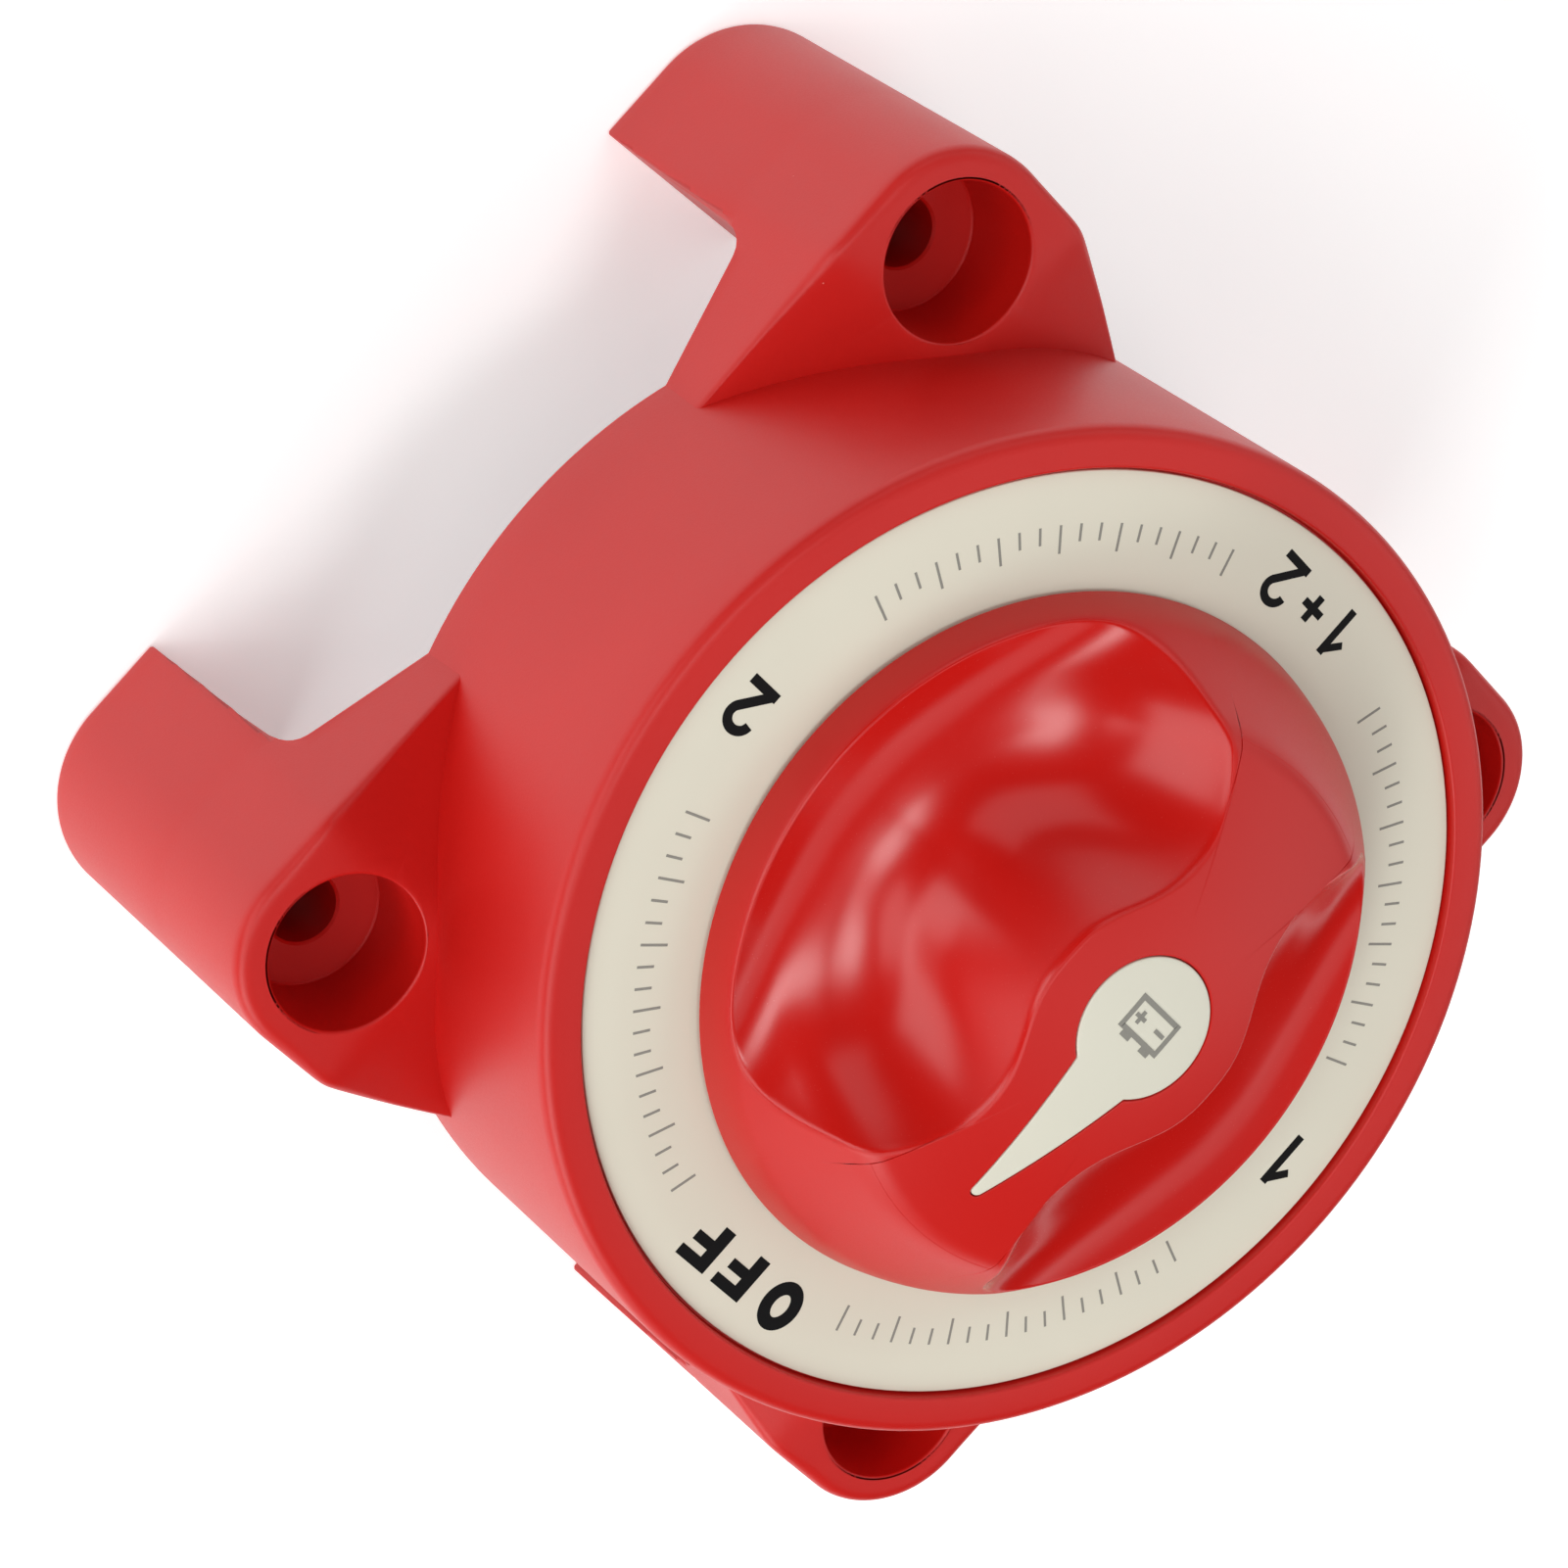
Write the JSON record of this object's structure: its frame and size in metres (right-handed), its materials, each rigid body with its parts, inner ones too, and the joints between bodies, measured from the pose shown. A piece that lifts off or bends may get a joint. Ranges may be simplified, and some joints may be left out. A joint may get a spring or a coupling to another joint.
{
  "type": "battery selector switch",
  "caption": "Surface-mount marine battery selector: round body on four hollow legs, recessed dial, turning knob with a pointer, stud terminals underneath.",
  "frame": {"origin": "centre of the mounting plane under the four legs", "axes": "+Z out of the dial along the knob's axis, +Y towards the OFF mark, +X towards mark 2"},
  "size_m": [0.1292, 0.1292, 0.1023],
  "materials": {
    "housing_plastic": "fine moulded grain, satin",
    "knob_plastic": "smooth moulded gloss",
    "dial_film": "smooth printed film",
    "inlay_plastic": "smooth satin",
    "base_plastic": "moulded satin black",
    "rotor_plastic": "moulded satin black",
    "thrust_plastic": "plain white",
    "seal_rubber": "plain black",
    "bearing_brass": "turned",
    "spindle_brass": "turned",
    "contact_copper": "stamped copper",
    "plated_stud": "tin plated",
    "fastener_steel": "plain stainless",
    "screw_steel": "zinc plated",
    "spring_steel": "bright spring steel"
  },
  "bodies": {
    "housing": {"cover": "housing_plastic", "dial_ring": "dial_film", "shaft_bush": "bearing_brass", "shaft_seal": "seal_rubber", "base_plate": "base_plastic", "base_gasket": "seal_rubber", "base_screws": "screw_steel", "stud_common": "plated_stud", "stud_1": "plated_stud", "stud_2": "plated_stud", "contact_pad_1": "contact_copper", "contact_pad_2": "contact_copper", "common_contact": "contact_copper", "stud_washers": "fastener_steel", "jam_nuts": "fastener_steel", "lug_washers": "fastener_steel", "lock_washers": "fastener_steel", "lug_nuts": "fastener_steel", "detent_spring_right": "spring_steel", "detent_spring_left": "spring_steel"},
    "selector": {"spindle": "spindle_brass", "thrust_washer": "thrust_plastic", "rotor": "rotor_plastic", "contact_plate": "contact_copper", "contact_springs": "spring_steel", "knob": "knob_plastic", "pointer_inlay": "inlay_plastic", "knob_screw": "screw_steel"}
  },
  "joints": [
    {"name": "knob_turn", "type": "hinge", "parent": "housing", "child": "selector", "pos_m": [0, 0, 0.0786], "axis": [0, 0, 1], "continuous": true, "deforming": ["detent_spring_right", "detent_spring_left"]}
  ]
}
